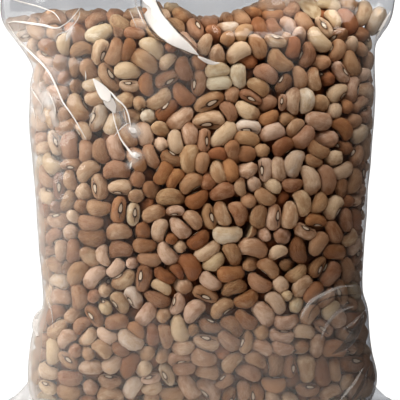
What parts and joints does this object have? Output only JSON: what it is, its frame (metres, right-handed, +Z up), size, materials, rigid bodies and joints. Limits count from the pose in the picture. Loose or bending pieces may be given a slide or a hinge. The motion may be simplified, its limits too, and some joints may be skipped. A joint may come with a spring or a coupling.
{
  "type": "clear bag of dried beans",
  "caption": "Clear heat-sealed pillow bag packed tight with dried brown cowpeas, standing on its flattened base with an empty film header above the beans.",
  "frame": {"origin": "under the middle of the flat base, on the surface that the bag stands on", "axes": "+Z up along the bag to its top seal, the broad front faces -Y, +X to the right as seen from the front"},
  "size_m": [0.148, 0.0508, 0.18],
  "materials": {
    "dried_beans": "satin",
    "clear_film": "gloss"
  },
  "bodies": {
    "root": {"sealed_bag": "dried_beans"}
  },
  "joints": []
}
